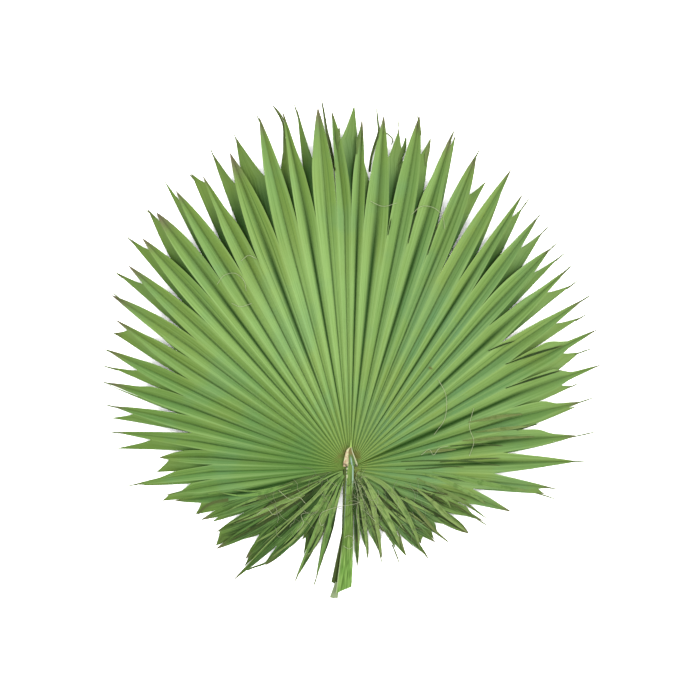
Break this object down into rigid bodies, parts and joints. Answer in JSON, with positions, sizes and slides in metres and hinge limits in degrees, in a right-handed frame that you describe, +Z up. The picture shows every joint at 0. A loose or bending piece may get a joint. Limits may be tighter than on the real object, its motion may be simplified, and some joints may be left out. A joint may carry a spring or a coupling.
{
  "type": "fan palm leaf",
  "caption": "Cut fan palm leaf lying face up: a round pleated blade with two-tipped segments, a short tapering stalk and a papery flap at the hub.",
  "frame": {"origin": "the stalk's flat underside, on the ground straight below the hub where the pleats meet", "axes": "+Z up off the leaf's upper face, +Y from the hub towards the top of the fan, +X to the right seen from above"},
  "size_m": [0.9077, 0.897, 0.0322],
  "materials": {
    "leaf_green": "satin",
    "stalk_green": "satin",
    "dry_flap": "matte"
  },
  "bodies": {
    "root": {"blade": "leaf_green", "stalk": "stalk_green", "hastula": "dry_flap"}
  },
  "joints": []
}
